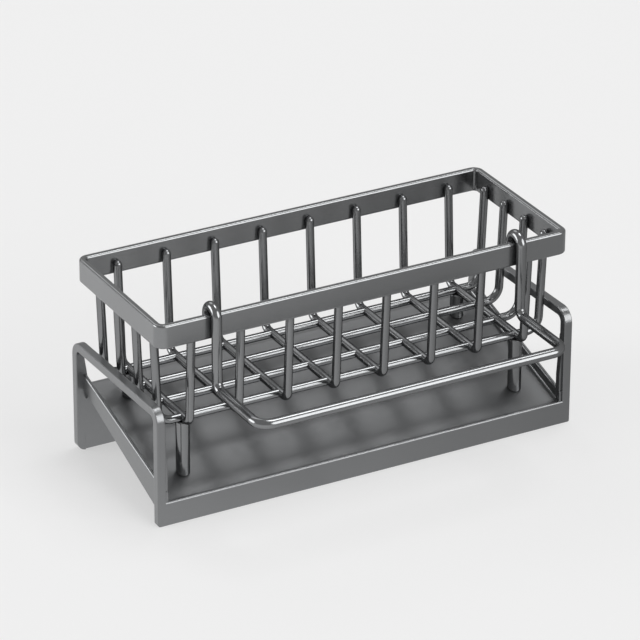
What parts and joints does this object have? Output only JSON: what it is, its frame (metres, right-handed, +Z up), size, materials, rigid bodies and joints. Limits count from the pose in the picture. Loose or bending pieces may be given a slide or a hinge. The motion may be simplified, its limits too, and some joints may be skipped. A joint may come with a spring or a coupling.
{
  "type": "sink organizer",
  "caption": "Welded wire basket with a flat rim band, standing on legs in a sloped drip tray with side arches, with a hooked-on hanging rail at the front.",
  "frame": {"origin": "on the ground under the middle of the whole outline, hanging rail included", "axes": "+X along the length to the right as seen from the front, -Y towards the front and the hanging rail, +Z up"},
  "size_m": [0.2344, 0.1416, 0.1132],
  "materials": {
    "tray_shell": "moulded tray in a satin gunmetal grey metallic coat",
    "basket_steel": "welded steel in a satin gunmetal grey metallic coat",
    "rail_steel": "bent steel rod in a glossier gunmetal grey metallic coat"
  },
  "bodies": {
    "tray": {"drip_tray": "tray_shell"},
    "basket": {"rim_band": "basket_steel", "cross_wire_1": "basket_steel", "cross_wire_2": "basket_steel", "cross_wire_3": "basket_steel", "cross_wire_4": "basket_steel", "cross_wire_5": "basket_steel", "cross_wire_6": "basket_steel", "cross_wire_7": "basket_steel", "cross_wire_8": "basket_steel", "long_wire_1": "basket_steel", "long_wire_2": "basket_steel", "long_wire_3": "basket_steel", "long_wire_4": "basket_steel", "leg_front_left": "basket_steel", "leg_front_right": "basket_steel", "leg_rear_left": "basket_steel", "leg_rear_right": "basket_steel"},
    "rail": {"hanging_rail": "rail_steel"}
  },
  "joints": [
    {"name": "basket_lift", "type": "slide", "parent": "tray", "child": "basket", "axis": [0, 0, 1], "range_m": [0, 0.052]},
    {"name": "rail_lift", "type": "slide", "parent": "basket", "child": "rail", "axis": [0, 0, 1], "range_m": [0, 0.048]}
  ]
}
